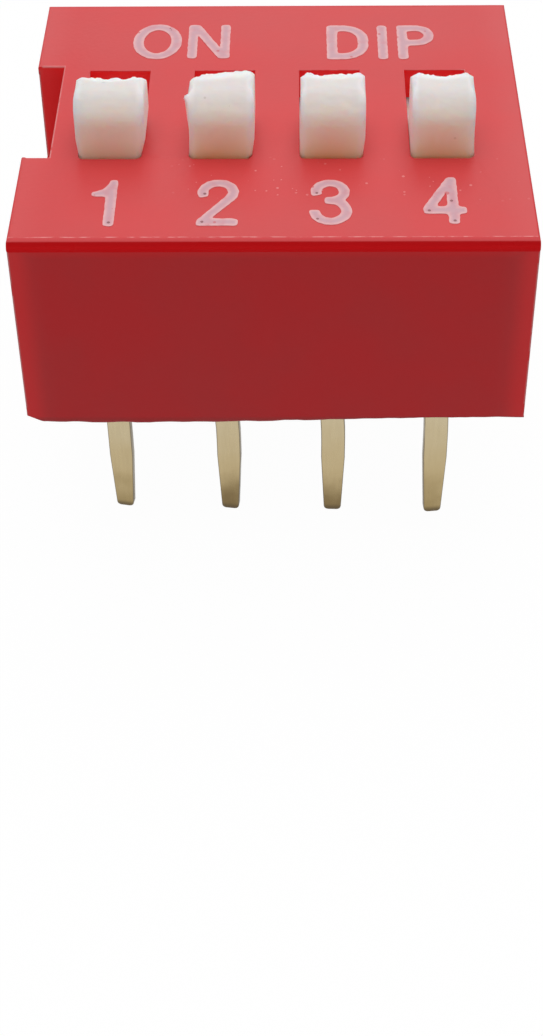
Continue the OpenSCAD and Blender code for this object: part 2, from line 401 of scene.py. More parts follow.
def make_specks():
    """Effect of small scattered specks, more of them where the share is higher."""
    group, given, result = new_group("specks", {"Speck Scale": 4000.0, "Share": 0.1}, ("Specks",))
    place = place_on(group)
    cells = add_node(group, "ShaderNodeTexVoronoi", {"Vector": place, "Scale": given["Speck Scale"]})
    picked = add_node(group, "ShaderNodeSeparateColor", {"Color": cells.outputs["Color"]})
    kept = maths(group, "LESS_THAN", picked.outputs["Red"], given["Share"])
    size = product(group, picked.outputs["Green"], 0.45)
    inside = maths(group, "LESS_THAN", cells.outputs["Distance"], size)
    fill_inputs(group, result, {"Specks": product(group, kept, inside)})
    return group


def make_rubbed_edges():
    """Effect of wear on the broken edges, in short strokes along them."""
    group, given, result = new_group("rubbed_edges", {"Stroke Scale": 6000.0, "Cover": 0.5}, ("Rubbed",))
    place = place_on(group)
    edge = carried(group, "rubbed")
    strokes = noise_value(group, place, given["Stroke Scale"], 3.0)
    bare = maths(group, "SUBTRACT", 1.0, given["Cover"])
    worn = spread(group, maths(group, "SUBTRACT", strokes, bare), -0.05, 0.05)
    fill_inputs(group, result, {"Rubbed": product(group, worn, edge)})
    return group


MOULDED_SKIN = make_moulded_skin()
SPECKS = make_specks()
RUBBED_EDGES = make_rubbed_edges()


def place_effect(tree, group, values):
    """Outputs of an effect placed in a material with its own values."""
    return add_node(tree, "ShaderNodeGroup", values, node_tree=group).outputs


def moulded_skin(tree, cloud_scale, grain_scale):
    """Cloud and Grain outputs of the moulded skin in a material."""
    return place_effect(tree, MOULDED_SKIN, {"Cloud Scale": cloud_scale, "Grain Scale": grain_scale})


def new_finish(name):
    """A material with its tree and its surface shader."""
    material = bpy.data.materials.new(name)
    material.use_nodes = True
    return material, material.node_tree, material.node_tree.nodes["Principled BSDF"]


def add_bump(tree, shader, height, depth):
    """Relief of a height from 0 to 1 over a depth in metres."""
    bump = add_node(tree, "ShaderNodeBump", {"Height": height, "Distance": depth})
    tree.links.new(bump.outputs["Normal"], shader.inputs["Normal"])


def make_red_moulding():
    """Satin red plastic, frosted at the rim and rubbed pale at its edges, with painted light: brighter
    along its ends, a painted glow in its openings, painted shade along the rim, a painted sheen on top
    and a painted highlight along the front edge.
    """
    material, tree, shader = new_finish("red_moulding")
    skin = moulded_skin(tree, 420.0, 9000.0)
    place = place_on(tree)
    axes = axes_of(tree, place)
    out_x = size_of(tree, axes["X"])
    out_y = size_of(tree, axes["Y"])
    facings = facing_axes(tree)
    rim_height = carried(tree, "rim_height")
    tone = blend_colours(tree, spread(tree, skin["Cloud"], 0.3, 0.7), DEEP_RED, CLEAR_RED)

    # Painted glow: a brighter red painted on the walls of the openings, standing in for light
    off_end = spread(tree, out_x, COVER_HIGH.x - 0.05 * MM, COVER_HIGH.x - 0.01 * MM, 1.0, 0.0)
    off_side = spread(tree, out_y, COVER_HIGH.y - 0.4 * MM, COVER_HIGH.y - 0.3 * MM, 1.0, 0.0)
    below_top = spread(tree, axes["Z"], TOP_Z - 0.04 * MM, TOP_Z - 0.02 * MM, 1.0, 0.0)
    inside = product(tree, off_end, off_side, below_top)
    tone = blend_colours(tree, inside, tone, PAINTED_GLOW_RED)

    # Painted light: brighter strips by the ends, and a soft fade under the rounded edges of the long
    # faces
    on_long_face = spread(tree, size_of(tree, facings["Y"]), 0.8, 0.95)
    by_end = spread(tree, out_x, COVER_HIGH.x - 0.6 * MM, COVER_HIGH.x - 0.1 * MM, 0.0, 0.85)
    by_band = spread(tree, axes["Z"], BAND_LOW_Z - 0.22 * MM, BAND_LOW_Z, 0.0, 0.4)
    lit = product(tree, maths(tree, "MAXIMUM", by_end, by_band), on_long_face)
    tone = blend_colours(tree, lit, tone, EDGE_PAINTED_LIGHT)

    # Painted shade: a darker line along the rim. Frost under it
    by_rim = spread(tree, rim_height, 0.05 * MM, 0.13 * MM, 0.85, 0.0)
    tone = blend_colours(tree, by_rim, tone, RIM_SHADE_RED)
    rim = spread(tree, facings["Z"], -0.95, -0.8, 1.0, 0.0)
    frost = spread(tree, skin["Grain"], 0.38, 0.6, 0.25, 1.0)
    tone = blend_colours(tree, product(tree, rim, frost, 0.55), tone, FROST_AND_PAINTED_LIGHT_PINK)

    # Painted light: a pale cast near the ends, and a painted sheen on the top face
    painted_end_light = spread(tree, out_x, COVER_HIGH.x - 0.9 * MM, COVER_HIGH.x, 0.0, 0.05)
    tone = blend_colours(tree, painted_end_light, tone, FROST_AND_PAINTED_LIGHT_PINK)
    on_top = spread(tree, axes["Z"], TOP_Z - 0.006 * MM, TOP_Z - 0.002 * MM)
    painted_top_sheen = spread(tree, axes["Y"], 1.5 * MM, 3.5 * MM, 0.11, 0.135)
    tone = blend_colours(tree, product(tree, on_top, painted_top_sheen), tone, FROST_AND_PAINTED_LIGHT_PINK)

    # Wear on the broken edges, most of it round the notch
    rubbed = place_effect(tree, RUBBED_EDGES, {"Stroke Scale": 2500.0, "Cover": 0.6})["Rubbed"]
    off_rim = spread(tree, rim_height, 0.05 * MM, 0.15 * MM)
    by_notch = spread(tree, out_x, 4.3 * MM, 4.7 * MM, 0.12, 0.45)
    tone = blend_colours(tree, product(tree, off_rim, by_notch, rubbed), tone, FROST_AND_PAINTED_LIGHT_PINK)

    # Spatter between the knobs and the figures, from the second knob on
    spatter = place_effect(tree, SPECKS, {"Speck Scale": 12000.0, "Share": 0.08})["Specks"]
    off_numbers = size_of(tree, maths(tree, "ADD", axes["Y"], 2.6 * MM))
    by_numbers = spread(tree, off_numbers, 0.3 * MM, 1.0 * MM, 1.0, 0.0)
    past_first = spread(tree, axes["X"], -2.6 * MM, -1.6 * MM)
    spatter = product(tree, by_numbers, past_first, on_top, spatter, 0.45)
    tone = blend_colours(tree, spatter, tone, FROST_AND_PAINTED_LIGHT_PINK)

    # Painted highlight: a pale dashed line where the top face meets the front edge
    off_line = size_of(tree, maths(tree, "SUBTRACT", axes["Y"], COVER_LOW.y + COVER_EDGE_R))
    line = spread(tree, off_line, 0.01 * MM, 0.04 * MM, 1.0, 0.0)
    along = add_node(tree, "ShaderNodeMapping", {"Vector": place, "Scale": (0.35, 1.0, 1.0)}).outputs[0]
    dashes = spread(tree, noise_value(tree, along, 1 / (0.1 * MM), 3.0), 0.42, 0.62)
    tone = blend_colours(tree, product(tree, line, dashes, on_top, 0.75), tone, FROST_AND_PAINTED_LIGHT_PINK)

    roughness = spread(tree, skin["Cloud"], 0.3, 0.7, 0.36, 0.44)
    fill_inputs(tree, shader, {"Base Color": tone, "Roughness": roughness, "Specular IOR Level": 0.35})
    add_bump(tree, shader, skin["Grain"], 0.004 * MM)
    return material


def make_red_edge():
    """Red plastic of the cover's rounded edges, deep in colour with painted shade where they face up and
    painted light where they face forward, below a pale border of painted sheen that matches the top
    face.
    """
    material, tree, shader = new_finish("red_edge")
    skin = moulded_skin(tree, 420.0, 9000.0)
    facing_z = facing_axes(tree)["Z"]
    # Painted shade where the edge faces up and painted light where it faces forward; at the top, a
    # border of painted sheen
    tone = blend_colours(tree, spread(tree, facing_z, 0.0, 1.0), EDGE_PAINTED_LIGHT, EDGE_PAINTED_SHADE)
    tone = blend_colours(tree, spread(tree, facing_z, 0.81, 0.88, 0.0, 0.9), tone, EDGE_PAINTED_SHEEN)
    roughness = spread(tree, skin["Cloud"], 0.3, 0.7, 0.26, 0.34)
    fill_inputs(tree, shader, {"Base Color": tone, "Roughness": roughness, "Specular IOR Level": 0.08})
    add_bump(tree, shader, skin["Grain"], 0.003 * MM)
    return material


def make_white_nylon():
    """Milky plastic of the sliders that lets a little light through, with painted red bounce light
    towards the foot, painted highlights on the rims and painted shade on the crown.
    """
    material, tree, shader = new_finish("white_nylon")
    skin = moulded_skin(tree, 900.0, 12000.0)
    tone = blend_colours(tree, spread(tree, skin["Cloud"], 0.35, 0.65), NYLON_SHADE, NYLON_WHITE)
    height = axes_of(tree, place_on(tree))["Z"]
    # Painted shade: the crown of the knob darker, where it faces the lamps
    painted_crown_shade = spread(tree, height, TOP_Z + 1.15 * MM, TOP_Z + 1.45 * MM)
    tone = blend_colours(tree, painted_crown_shade, tone, NYLON_CROWN_SHADE)
    grime = place_effect(tree, SPECKS, {"Speck Scale": 9000.0, "Share": 0.02})["Specks"]
    tone = blend_colours(tree, product(tree, grime, 0.35), tone, NYLON_GRIME)
    # Painted light: a warm red glow towards each knob's foot, standing in for light bounced off the red
    # cover
    root = carried(tree, "red_bounce_tint")
    side = carried(tree, "knob_side")
    deep = blend_colours(tree, side, NYLON_BOUNCE_DEEP, NYLON_BOUNCE_GLOW)
    tone = blend_colours(tree, product(tree, root, 0.85), tone, deep)
    # Painted highlight: pale rims along the knob's sides and crest
    edge = carried(tree, "painted_rim_light")
    tone = blend_colours(tree, product(tree, edge, 0.9), tone, NYLON_RIM_HIGHLIGHT)
    roughness = spread(tree, skin["Grain"], 0.3, 0.7, 0.42, 0.55)
    fill_inputs(tree, shader, {
        "Base Color": tone,
        "Roughness": roughness,
        "Subsurface Weight": 1.0,
        "Subsurface Radius": (1.0, 0.62, 0.45),
        "Subsurface Scale": 1.0 * MM,
        "Sheen Weight": 0.3,
        "Sheen Roughness": 0.3,
        "Specular IOR Level": 0.3,
    })
    add_bump(tree, shader, skin["Grain"], 0.003 * MM)
    return material


def make_pale_print():
    """Pale ink of the marks, thin enough for the red to show through in places."""
    material, tree, shader = new_finish("pale_print")
    skin = moulded_skin(tree, 5200.0, 16000.0)
    rim = carried(tree, "ink_rim")
    thick = blend_colours(tree, spread(tree, rim, 0.15, 0.95), PRINT_CORE, PRINT_PALE)
    tone = blend_colours(tree, spread(tree, skin["Cloud"], 0.4, 0.75, 0.0, 0.6), thick, PRINT_THIN)
    gaps = place_effect(tree, SPECKS, {"Speck Scale": 7000.0, "Share": 0.06})["Specks"]
    tone = blend_colours(tree, product(tree, gaps, 0.6), tone, PRINT_GAP)
    fill_inputs(tree, shader, {"Base Color": tone, "Roughness": 0.6, "Specular IOR Level": 0.2})
    add_bump(tree, shader, skin["Grain"], 0.004 * MM)
    return material


def make_ink_pit():
    """Dull ground of the small pits where the ink ran thin."""
    material, tree, shader = new_finish("ink_pit")
    skin = moulded_skin(tree, 9000.0, 20000.0)
    tone = blend_colours(tree, skin["Cloud"], PIT_DARK, PIT_RED)
    fill_inputs(tree, shader, {"Base Color": tone, "Roughness": 0.6, "Specular IOR Level": 0.2})
    return material


def make_plated_pin():
    """Pale gold plating, drawn along the pin, with painted shade towards the tip and on the inner pins,
    a painted red reflection near the rim, and painted dark reflections on the sides and the tip.
    """
    material, tree, shader = new_finish("plated_pin")
    place = place_on(tree)
    drawn = add_node(tree, "ShaderNodeMapping", {"Vector": place, "Scale": (1.0, 1.0, 0.06)}).outputs[0]
    streaks = noise_value(tree, drawn, 1 / (0.05 * MM), 4.0)
    clouds = noise_value(tree, place, 1 / (0.9 * MM), 3.0)
    axes = axes_of(tree, place)
    length = maths(tree, "ADD", axes["Z"], product(tree, clouds, 1.6 * MM))
    tone = blend_colours(tree, spread(tree, length, -2.4 * MM, 0.6 * MM), PIN_WARM, PIN_PALE)
    # Painted shade: darker towards the tip
    tone = blend_colours(tree, spread(tree, length, -3.4 * MM, -1.8 * MM, 0.8, 0.0), tone, PIN_TIP_SHADE)
    # Painted shade: the inner pins darker towards their tips
    inner_pin = spread(tree, size_of(tree, axes["X"]), 2.0 * MM, 3.0 * MM, 1.0, 0.25)
    inner_shade = spread(tree, length, -3.2 * MM, -1.6 * MM, 0.85, 0.0)
    tone = blend_colours(tree, product(tree, inner_shade, inner_pin), tone, PIN_INNER_SHADE)
    # Painted reflection: a red tint near the rim, where the red cover is mirrored
    by_rim = spread(tree, axes["Z"], -0.35 * MM, -0.05 * MM, 0.0, 0.5)
    tone = blend_colours(tree, by_rim, tone, PIN_RED_REFLECTION)
    # Painted dark reflections on the sides, and at the tip
    painted_dark_sides = spread(tree, size_of(tree, facing_axes(tree)["X"]), 0.4, 0.8, 0.0, 0.8)
    tip = spread(tree, axes["Z"], PIN_TIP_Z + 0.06 * MM, PIN_TIP_Z + 0.24 * MM, 0.85, 0.0)
    tone = blend_colours(tree, maths(tree, "MAXIMUM", painted_dark_sides, tip), tone, PIN_PAINTED_DARK)
    roughness = spread(tree, streaks, 0.3, 0.7, 0.26, 0.4)
    fill_inputs(tree, shader, {"Base Color": tone, "Roughness": roughness, "Metallic": 1.0})
    add_bump(tree, shader, streaks, 0.004 * MM)
    return material


def make_contact_gold():
    """Gold flash on the contact leaves."""
    material, tree, shader = new_finish("contact_gold")
    skin = moulded_skin(tree, 1500.0, 14000.0)
    tone = blend_colours(tree, spread(tree, skin["Cloud"], 0.3, 0.7), CONTACT_PALE, CONTACT_DEEP)
    roughness = spread(tree, skin["Grain"], 0.3, 0.7, 0.2, 0.34)
    fill_inputs(tree, shader, {"Base Color": tone, "Roughness": roughness, "Metallic": 1.0})
    add_bump(tree, shader, skin["Grain"], 0.002 * MM)
    return material


def make_black_moulding():
    """Glass-filled black plastic of the base, streaky and rough."""
    material, tree, shader = new_finish("black_moulding")
    skin = moulded_skin(tree, 1300.0, 11000.0)
    tone = blend_colours(tree, spread(tree, skin["Cloud"], 0.35, 0.7), BASE_DARK, BASE_GREY)
    fibres = place_effect(tree, SPECKS, {"Speck Scale": 9000.0, "Share": 0.1})["Specks"]
    tone = blend_colours(tree, product(tree, fibres, 0.5), tone, BASE_FIBRE)
    rubbed = place_effect(tree, RUBBED_EDGES, {"Stroke Scale": 7000.0, "Cover": 0.45})["Rubbed"]
    tone = blend_colours(tree, product(tree, rubbed, 0.5), tone, BASE_FIBRE)
    roughness = spread(tree, skin["Cloud"], 0.3, 0.7, 0.4, 0.62)
    fill_inputs(tree, shader, {"Base Color": tone, "Roughness": roughness})
    add_bump(tree, shader, skin["Grain"], 0.012 * MM)
    return material


def make_grey_epoxy():
    """Dark grey potting compound that set with a smooth, faintly wavy face, with painted shade round the
    pin roots.
    """
    material, tree, shader = new_finish("grey_epoxy")
    skin = moulded_skin(tree, 600.0, 5200.0)
    tone = blend_colours(tree, spread(tree, skin["Cloud"], 0.3, 0.7), EPOXY_DARK, EPOXY_GREY)
    axes = axes_of(tree, place_on(tree))
    # Painted shade: darker rings round the pin roots
    folded = maths(tree, "SUBTRACT", size_of(tree, axes["X"]), PIN_PITCH)
    off_x = maths(tree, "SUBTRACT", size_of(tree, folded), PIN_PITCH / 2)
    off_y = maths(tree, "SUBTRACT", size_of(tree, axes["Y"]), PIN_ROW_Y)
    squares = maths(tree, "ADD", product(tree, off_x, off_x), product(tree, off_y, off_y))
    off_pin = maths(tree, "SQRT", squares)
    painted_pin_shade = spread(tree, off_pin, 0.35 * MM, 0.8 * MM, 0.75, 0.0)
    tone = blend_colours(tree, painted_pin_shade, tone, EPOXY_PIN_SHADE)
    dust = place_effect(tree, SPECKS, {"Speck Scale": 6000.0, "Share": 0.03})["Specks"]
    tone = blend_colours(tree, product(tree, dust, 0.4), tone, EPOXY_DUST)
    roughness = spread(tree, skin["Cloud"], 0.3, 0.7, 0.4, 0.52)
    fill_inputs(tree, shader, {"Base Color": tone, "Roughness": roughness})
    add_bump(tree, shader, skin["Grain"], 0.003 * MM)
    return material


# Colours of the finishes
DEEP_RED = (0.65, 0.008, 0.012, 1)
CLEAR_RED = (0.7, 0.01, 0.015, 1)
EDGE_PAINTED_SHADE = (0.47, 0.004, 0.006, 1)
EDGE_PAINTED_LIGHT = (0.95, 0.007, 0.011, 1)
EDGE_PAINTED_SHEEN = (0.7, 0.075, 0.082, 1)
PAINTED_GLOW_RED = (0.92, 0.008, 0.012, 1)
RIM_SHADE_RED = (0.5, 0.004, 0.006, 1)
FROST_AND_PAINTED_LIGHT_PINK = (0.85, 0.38, 0.38, 1)
NYLON_WHITE = (0.95, 0.905, 0.85, 1)
NYLON_SHADE = (0.92, 0.865, 0.81, 1)
NYLON_CROWN_SHADE = (0.76, 0.725, 0.71, 1)
NYLON_BOUNCE_DEEP = (0.9, 0.47, 0.17, 1)
NYLON_BOUNCE_GLOW = (0.99, 0.66, 0.36, 1)
NYLON_RIM_HIGHLIGHT = (0.99, 0.975, 0.96, 1)
NYLON_GRIME = (0.45, 0.4, 0.36, 1)
PRINT_PALE = (0.84, 0.49, 0.5, 1)
PRINT_CORE = (0.66, 0.4, 0.45, 1)
PRINT_THIN = (0.7, 0.31, 0.35, 1)
PRINT_GAP = (0.65, 0.1, 0.11, 1)
PIT_DARK = (0.25, 0.14, 0.15, 1)
PIT_RED = (0.42, 0.17, 0.18, 1)
PIN_PALE = (0.58, 0.49, 0.32, 1)
PIN_WARM = (0.5, 0.39, 0.21, 1)
PIN_TIP_SHADE = (0.33, 0.24, 0.1, 1)
PIN_INNER_SHADE = (0.17, 0.115, 0.05, 1)
PIN_PAINTED_DARK = (0.11, 0.08, 0.045, 1)
PIN_RED_REFLECTION = (0.4, 0.24, 0.13, 1)
CONTACT_PALE = (0.85, 0.68, 0.36, 1)
CONTACT_DEEP = (0.76, 0.57, 0.26, 1)
BASE_DARK = (0.022, 0.022, 0.025, 1)
BASE_GREY = (0.085, 0.085, 0.093, 1)
BASE_FIBRE = (0.24, 0.24, 0.255, 1)
EPOXY_PIN_SHADE = (0.02, 0.02, 0.02, 1)
EPOXY_DARK = (0.045, 0.045, 0.045, 1)
EPOXY_GREY = (0.075, 0.074, 0.073, 1)
EPOXY_DUST = (0.2, 0.2, 0.2, 1)

RED_MOULDING = make_red_moulding()
RED_EDGE = make_red_edge()
WHITE_NYLON = make_white_nylon()
PALE_PRINT = make_pale_print()
INK_PIT = make_ink_pit()
PLATED_PIN = make_plated_pin()
CONTACT_GOLD = make_contact_gold()
BLACK_MOULDING = make_black_moulding()
GREY_EPOXY = make_grey_epoxy()


def chip_corner(bm, place, facing):
    """Breaks a corner off along a plane and closes the break."""
    made = bmesh.ops.bisect_plane(
        bm,
        geom=bm.verts[:] + bm.edges[:] + bm.faces[:],
        dist=WELD,
        plane_co=place,
        plane_no=facing,
        clear_outer=True,
    )
    rim = [item for item in made["geom_cut"] if isinstance(item, bmesh.types.BMEdge)]
    bmesh.ops.contextual_create(bm, geom=rim)


def break_cover(bm):
    """Breaks the cover's sharp outer edges, each kind in turn, short of its rounded edges."""
    for place, facing in ((END_CUT_X, ALONG_X), (BAND_LOW_Z, ALONG_Z), (RIM_CUT, ALONG_Z)):
        cut(bm, bm.faces[:], place * facing, facing)

    def on_flat_top(place):
        return abs(place.y) < COVER_HIGH.y - 2 * COVER_EDGE_R and place.z > TOP_Z - TOUCH

    def on_notch(place):
        return on_flat_top(place) and END_CUT_X - TOUCH < place.x < -WINDOW_END_X

    def on_windows(place):
        return on_flat_top(place) and abs(place.x) < WINDOW_END_X

    def on_corners(place):
        return abs(place.x) > COVER_HIGH.x - TOUCH and RIM_CUT - TOUCH < place.z < BAND_LOW_Z + TOUCH

    def on_rim(place):
        return place.z < TOUCH

    for test in (on_notch, on_windows, on_corners, on_rim):
        chosen = [edge for edge in sharp_edges(bm) if all(test(vert.co) for vert in edge.verts)]
        if test is on_corners:
            chosen = [edge for edge in chosen if abs(edge.verts[0].co.y - edge.verts[1].co.y) < TOUCH]
        break_edges(bm, chosen, COVER_BREAK)


def round_windows(bm):
    """Rounds the near corners of the windows for the knobs."""

    def at_near_corner(edge):
        first, second = (vert.co for vert in edge.verts)
        upright = abs(first.x - second.x) < TOUCH and abs(first.y - second.y) < TOUCH
        through_top = max(first.z, second.z) > TOP_Z - TOUCH
        near = first.y < 0 and abs(first.x) < WINDOW_END_X
        return upright and through_top and near and edge.calc_face_angle_signed(0) < -CORNER_ANGLE

    round_edges(bm, [edge for edge in bm.edges if at_near_corner(edge)], WINDOW_CORNER_R)


def draw_windows_in(bm):
    """Draws the left edge of each window in towards its knob."""
    for number in POSITIONS:
        left = (number - 2.5) * PIN_PITCH - WINDOW_HALF_W
        for vert in bm.verts:
            share = 1 - (vert.co.x - left) / WINDOW_DRAW_REACH
            by_window = abs(vert.co.y) < WINDOW_END_Y + TOUCH and vert.co.z > TOP_Z - TOUCH
            if by_window and 0 < share < 1 + TOUCH / WINDOW_DRAW_REACH:
                vert.co.x += WINDOW_DRAW * share


def ruffle_rim(bm):
    """Makes the lower rim a little bowed and uneven, as trimmed flash leaves it."""

    def on_rim(place):
        return place.z < RIM_CUT + TOUCH

    for axis, facing in ((0, ALONG_X), (1, ALONG_Y)):
        for place in steps_between(COVER_LOW[axis], COVER_HIGH[axis], RIM_STEP):
            cut(bm, faces_where(bm, on_rim), facing * place, facing)
    rim_height = bm.verts.layers.float.new("rim_height")
    for vert in bm.verts:
        vert[rim_height] = vert.co.z
        near = max(0, 1 - vert.co.z / RIM_CUT)
        flat = Vector((vert.co.x, vert.co.y, 0))
        broad = bump_at(flat, RIM_WAVE_SPACING)
        fine = 0.4 * bump_at(flat, RIM_STEP, 1)
        bow = RIM_SET + RIM_BOW * math.sin(math.pi * (vert.co.x - RIM_BOW_MIDDLE) / RIM_BOW_REACH)
        vert.co.z += near * (bow + RIM_WAVE * max(0, 0.3 + broad + fine))


def make_cover():
    """Moulded cover with broken edges, an uneven rim and a chip off one corner of it."""
    bm = closed_copy("cover")
    round_windows(bm)
    draw_windows_in(bm)
    break_cover(bm)
    chip_corner(bm, CHIP_PLACE, CHIP_FACING)
    ruffle_rim(bm)
    split_large_faces(bm)

    def on_round_edge(place):
        by_side = abs(place.y) > COVER_HIGH.y - COVER_EDGE_R - TOUCH
        return by_side and place.z > BAND_LOW_Z - TOUCH

    for face in faces_where(bm, on_round_edge):
        face.material_index = 1
    add_piece(bm, "cover_moulding", (RED_MOULDING, RED_EDGE), "housing", "cover")


def shape_knob(bm, number, low, high):
    """Gives a knob its uneven skin, its sagging crest and the ragged flash behind it."""
    middle = (low + high) / 2
    axis_z = high.z - KNOB_R
    half_w = (high.x - low.x) / 2
    red_bounce_tint = bm.verts.layers.float.new("red_bounce_tint")
    knob_side = bm.verts.layers.float.new("knob_side")
    painted_rim_light = bm.verts.layers.float.new("painted_rim_light")
    for vert in bm.verts:
        if vert.co.z < KNOB_ROOT + TOUCH:
            continue
        place = vert.co.copy()
        across = (place.x - middle.x) / half_w
        # Painted red bounce light: a warm tint that grows towards the knob's foot
        low_share = min(1, max(0, 1 - (place.z - TOP_Z) / TINT_REACH))
        strength = FRONT_TINT[number] if place.y < middle.y else BACK_TINT
        side_loss = TINT_SIDE_LOSS * across ** 2 * (1 - low_share ** 3)
        vert[red_bounce_tint] = strength * (1 - side_loss) * low_share ** TINT_FALL
        vert[knob_side] = min(1, across ** 2)
        neck = min(1, (place.z - KNOB_ROOT) / KNOB_NECK)
        vert.co.x += across * NECK_SPREAD[across > 0] * MM * neck
        if place.z < TOP_Z + TOUCH:
            continue
        rise = min(1, (place.z - TOP_Z) / KNOB_SHAPE_RISE)
        out = Vector((0, place.y - middle.y, max(0, place.z - axis_z)))
        tilt = math.atan2(out.y, out.z)
        out.normalize()

        skin = -KNOB_SKIN * (1 + bump_at(place, KNOB_SKIN_SPACING, number))
        crest = bell(tilt, FLASH_TILT, CREST_SPREAD)
        sag = CREST_SAG[number] * (1 - across ** 2) + CREST_DROP[number] * (1 - across) / 2
        shoulder = max(0, (abs(across) - SHOULDER_START) / (1 - SHOULDER_START)) ** 2
        ragged = 0.5 + bump_at(Vector((place.x, 0, 0)), FLASH_SPACING, number + 0.5)
        ridge = bell(tilt, FLASH_TILT, FLASH_SPREAD)
        flash = FLASH_HEIGHT * max(0, ragged) * ridge * (1 - shoulder)
        lift = CREST_RISE[number] * MM * bell(tilt, FLASH_TILT, CREST_RISE_SPREAD)
        move = skin + flash + lift - (sag * MM + SHOULDER_DROP * shoulder) * crest
        vert.co += out * move * rise
        vert.co.z = min(vert.co.z, high.z - CREST_CLEAR)
        if place.y < middle.y:
            low_part = min(1, (place.z - TOP_Z) / (axis_z - TOP_Z))
            vert.co.y += KNOB_FRONT_LEAN * low_part * max(0, -out.y)
        vert.co.x += across * KNOB_SPREAD[number][across > 0] * MM * rise
        if number == BURR_KNOB and across < BURR_START:
            burr = bell(tilt, BURR_TILT, BURR_SPREAD)
            torn = max(0, bump_at(place, 0.5 * KNOB_SKIN_SPACING, number) + 0.8)
            vert.co.x -= BURR_REACH * burr * torn
        # Painted highlight along the sides and behind the crest
        at_edge = max(0, (abs(across) - RIM_LIGHT_START) / (1 - RIM_LIGHT_START)) * (1 - 0.8 * low_share)
        crest_rim = bell(tilt, CREST_RIM_TILT, CREST_RIM_SPREAD)
        vert[painted_rim_light] = max(at_edge, min(1, 1.3 * crest_rim))


def make_slider(number):
    """Slider with its knob cut fine enough to carry the marks of its mould."""
    node = f"slider_{number}"
    bm = closed_copy(node)
    cut(bm, bm.faces[:], KNOB_ROOT * ALONG_Z, ALONG_Z)

    def on_knob(place):
        return place.z > KNOB_ROOT - TOUCH

    knob_places = [vert.co for vert in bm.verts if on_knob(vert.co)]
    low = Vector(min(place[axis] for place in knob_places) for axis in range(3))
    high = Vector(max(place[axis] for place in knob_places) for axis in range(3))
    middle = (low + high) / 2
    crest_axis = Vector((middle.x, middle.y, high.z - KNOB_R))
    for x in steps_between(low.x, high.x, (high.x - low.x) / KNOB_CUTS_ACROSS):
        cut(bm, faces_where(bm, on_knob), x * ALONG_X, ALONG_X)
    for angle in steps_between(-math.pi / 2, math.pi / 2, KNOB_CUT_ANGLE):
        facing = Vector((0, math.cos(angle), -math.sin(angle)))
        cut(bm, faces_where(bm, lambda place: place.z > crest_axis.z - TOUCH), crest_axis, facing)
    for z in steps_between(KNOB_ROOT, crest_axis.z, KNOB_CUT_STEP):
        cut(bm, faces_where(bm, on_knob), z * ALONG_Z, ALONG_Z)
    split_large_faces(bm)
    shape_knob(bm, number, low, high)
    add_piece(bm, f"slider_moulding_{number}", (WHITE_NYLON,), f"slide_{number}", node)


def across_tip(edge):
    """True for an edge that runs through the thickness of the strip at its tip."""
    first, second = (vert.co for vert in edge.verts)
    at_tip = max(first.z, second.z) < PIN_TIP_Z + TOUCH
    return at_tip and abs(first.x - second.x) < TOUCH


def make_pin_strip(side, number, lean):
    """Stamped and bent strip with a rounded tip, soft edges and a slight lean."""
    node = f"{side}_terminal_{number}"
    bm = closed_copy(node)
    break_edges(bm, [edge for edge in sharp_edges(bm) if across_tip(edge)], TIP_BREAK)
    break_edges(bm, sharp_edges(bm), PIN_BREAK)
    for z in steps_between(PIN_TIP_Z, 0, -PIN_TIP_Z / PIN_CUTS):
        cut(bm, bm.faces[:], z * ALONG_Z, ALONG_Z)
    split_large_faces(bm)
    tip = [vert.co for vert in bm.verts if vert.co.z < PIN_TIP_Z + TIP_BREAK]
    middle = sum(tip, Vector()) / len(tip)
    along_row, outwards, turn = lean
    for vert in bm.verts:
        share = max(0, vert.co.z / PIN_TIP_Z)
        bent = math.sin(math.pi / 2 * min(1, 2.5 * share))
        off = vert.co - middle
        off.rotate(Matrix.Rotation(math.radians(turn) * bent, 3, "Z"))
        way_out = outwards * math.copysign(share, middle.y)
        if share > 0:
            vert.co = middle + off + Vector((along_row * bent, way_out, 0)) * MM
    add_piece(bm, f"{side}_pin_strip_{number}", (PLATED_PIN,), "housing", node)


def roughen_boss(bm):
    """Gives the underside of the boss a coarse skin, and ragged edges along its bars."""

    def under_boss(place):
        return place.z < BOSS_DEEP_Z

    for size, facing in ((BOSS_X, ALONG_X), (BOSS_Y, ALONG_Y)):
        for place in steps_between(-size, size, BOSS_CELL):
            cut(bm, faces_where(bm, under_boss), facing * place, facing)
    for vert in bm.verts:
        if not under_boss(vert.co) or abs(vert.co.x) > BOSS_X - TOUCH or abs(vert.co.y) > BOSS_Y - TOUCH:
            continue
        shift = noise.noise_vector(vert.co / BOSS_SPACING)
        by_bar = bell(abs(vert.co.x), BOSS_BAR_X, BOSS_BAR_EDGE)
        vert.co.z += BOSS_SKIN * abs(shift.z)
        vert.co.x += BOSS_RAGGED * by_bar * shift.x
        vert.co.y += 0.4 * BOSS_RAGGED * shift.y


def make_base():
    """Moulded base with broken edges and a rough underside."""
    bm = closed_copy("base")
    low = [edge for edge in sharp_edges(bm) if all(vert.co.z < SEAL_HIGH.z for vert in edge.verts)]
    break_edges(bm, low, BASE_BREAK)
    roughen_boss(bm)
    split_large_faces(bm)
    add_piece(bm, "base_moulding", (BLACK_MOULDING,), "housing", "base")


